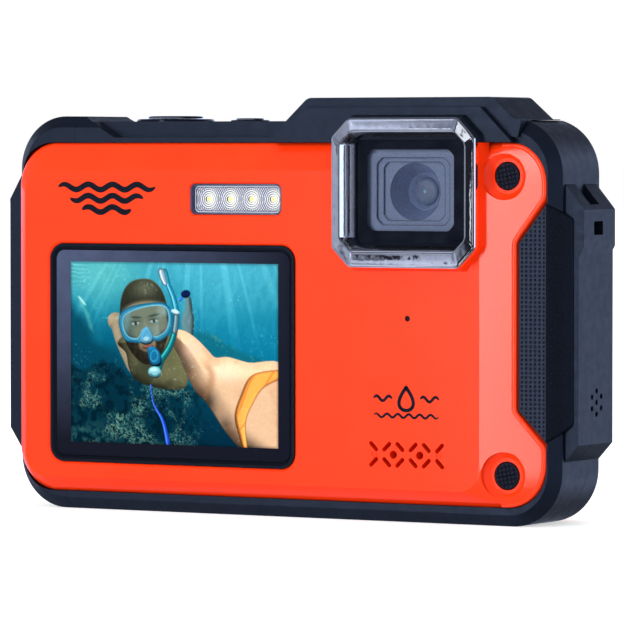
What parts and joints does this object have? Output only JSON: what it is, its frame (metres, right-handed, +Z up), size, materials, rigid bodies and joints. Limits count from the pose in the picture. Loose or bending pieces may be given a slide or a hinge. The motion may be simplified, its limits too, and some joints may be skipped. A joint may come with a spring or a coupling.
{
  "type": "rugged dual-screen compact camera",
  "caption": "Waterproof pocket camera in an orange and black armoured case, with a small front display, a larger rear display, chrome lens surround, side door and strap eyelet.",
  "frame": {"origin": "mouth of the tripod thread, in the middle of the flat bottom", "axes": "+Z up; +X to the right of a viewer who faces the lens; the lens looks along -Y"},
  "size_m": [0.1115, 0.0274, 0.0696],
  "materials": {
    "orange_cover": "satin pearl orange paint on the moulded covers",
    "black_frame": "fine-textured blue-black glass-filled nylon",
    "black_panel": "plain black plastic",
    "black_rubber": "moulded rubber with a raised pattern",
    "seal_rubber": "soft grey silicone",
    "steel": "plain steel",
    "chrome_trim": "bright chrome plating",
    "clear_window": "clear hard-coated window",
    "display_glass": "dark-bordered display glass",
    "grey_mask": "blue-grey matt mask behind the window",
    "lens_glass": "coated optical glass",
    "silicon": "sensor chip",
    "circuit_board": "green circuit board",
    "led_phosphor": "yellow lamp phosphor",
    "display_module": "display module",
    "key_plastic": "moulded keys",
    "battery_label": "wrapped lithium cell",
    "brass_insert": "moulded-in threaded insert"
  },
  "bodies": {
    "case": {"front_cover": "orange_cover", "rear_cover": "orange_cover", "mid_frame": "black_frame", "end_bumper_left": "black_frame", "end_bumper_right": "black_frame", "lens_hood": "black_frame", "strap_block": "black_frame", "rear_panel": "black_panel", "grip_pad": "black_rubber", "screw_caps": "black_rubber", "hinge_pin": "steel", "case_seal": "seal_rubber", "lens_bezel": "chrome_trim", "lens_window": "clear_window", "lens_baffle": "grey_mask", "lens_barrel": "black_panel", "lens_front_element": "lens_glass", "lens_rear_element": "lens_glass", "image_sensor": "silicon", "sensor_board": "circuit_board", "led_window": "clear_window", "led_reflector": "chrome_trim", "leds": "led_phosphor", "led_board": "circuit_board", "front_display_gasket": "black_panel", "front_display_glass": "display_glass", "front_display_panel": "display_module", "rear_display_glass": "display_glass", "rear_display_panel": "display_module", "shutter_ring": "black_panel", "shutter_spring": "steel", "power_ring": "black_panel", "power_spring": "steel", "button_switches": "circuit_board", "rocker_pin": "steel", "key_membrane": "seal_rubber", "battery": "battery_label", "battery_tray": "black_panel", "memory_card": "black_panel", "card_socket": "steel", "usb_port": "steel", "main_board": "circuit_board", "tripod_insert": "brass_insert", "side_speaker": "black_panel", "front_speaker": "black_panel", "microphone": "steel", "case_screws": "steel", "front_screws": "steel"},
    "shutter": {"shutter_button": "chrome_trim"},
    "power": {"power_button": "chrome_trim"},
    "zoom": {"zoom_rocker": "key_plastic"},
    "mode": {"mode_key": "key_plastic"},
    "playback": {"playback_key": "key_plastic"},
    "pad": {"direction_pad": "key_plastic"},
    "ok": {"ok_key": "key_plastic"},
    "menu": {"menu_key": "key_plastic"},
    "delete": {"delete_key": "key_plastic"},
    "door": {"battery_door": "black_frame", "door_seal": "seal_rubber"},
    "latch": {"door_latch": "black_frame"}
  },
  "joints": [
    {"name": "shutter_press", "type": "slide", "parent": "case", "child": "shutter", "axis": [0, 0, -1], "range_m": [0, 0.0005], "stiffness_N_per_m": 700, "deforming": ["shutter_spring"]},
    {"name": "power_press", "type": "slide", "parent": "case", "child": "power", "axis": [0, 0, -1], "range_m": [0, 0.0003], "stiffness_N_per_m": 700, "deforming": ["power_spring"]},
    {"name": "zoom_rock", "type": "hinge", "parent": "case", "child": "zoom", "pos_m": [-0.0372, 0.0097, 0.0524], "axis": [0, 0, 1], "range_deg": [-4, 4], "stiffness_Nm_per_rad": 0.01},
    {"name": "mode_press", "type": "slide", "parent": "case", "child": "mode", "axis": [0, -1, 0], "range_m": [0, 0.00035], "stiffness_N_per_m": 600},
    {"name": "playback_press", "type": "slide", "parent": "case", "child": "playback", "axis": [0, -1, 0], "range_m": [0, 0.00035], "stiffness_N_per_m": 600},
    {"name": "pad_rock", "type": "hinge", "parent": "case", "child": "pad", "pos_m": [-0.0372, 0.0101, 0.033], "axis": [1, 0, 0], "range_deg": [-2.5, 2.5], "stiffness_Nm_per_rad": 0.02},
    {"name": "ok_press", "type": "slide", "parent": "case", "child": "ok", "axis": [0, -1, 0], "range_m": [0, 0.00035], "stiffness_N_per_m": 600},
    {"name": "menu_press", "type": "slide", "parent": "case", "child": "menu", "axis": [0, -1, 0], "range_m": [0, 0.00035], "stiffness_N_per_m": 600},
    {"name": "delete_press", "type": "slide", "parent": "case", "child": "delete", "axis": [0, -1, 0], "range_m": [0, 0.00035], "stiffness_N_per_m": 600},
    {"name": "door_hinge", "type": "hinge", "parent": "case", "child": "door", "pos_m": [-0.05345, 0.0029, 0.032], "axis": [0, 0, -1], "range_deg": [0, 105]},
    {"name": "latch_slide", "type": "slide", "parent": "door", "child": "latch", "axis": [0, 0, -1], "range_m": [0, 0.0028]}
  ]
}
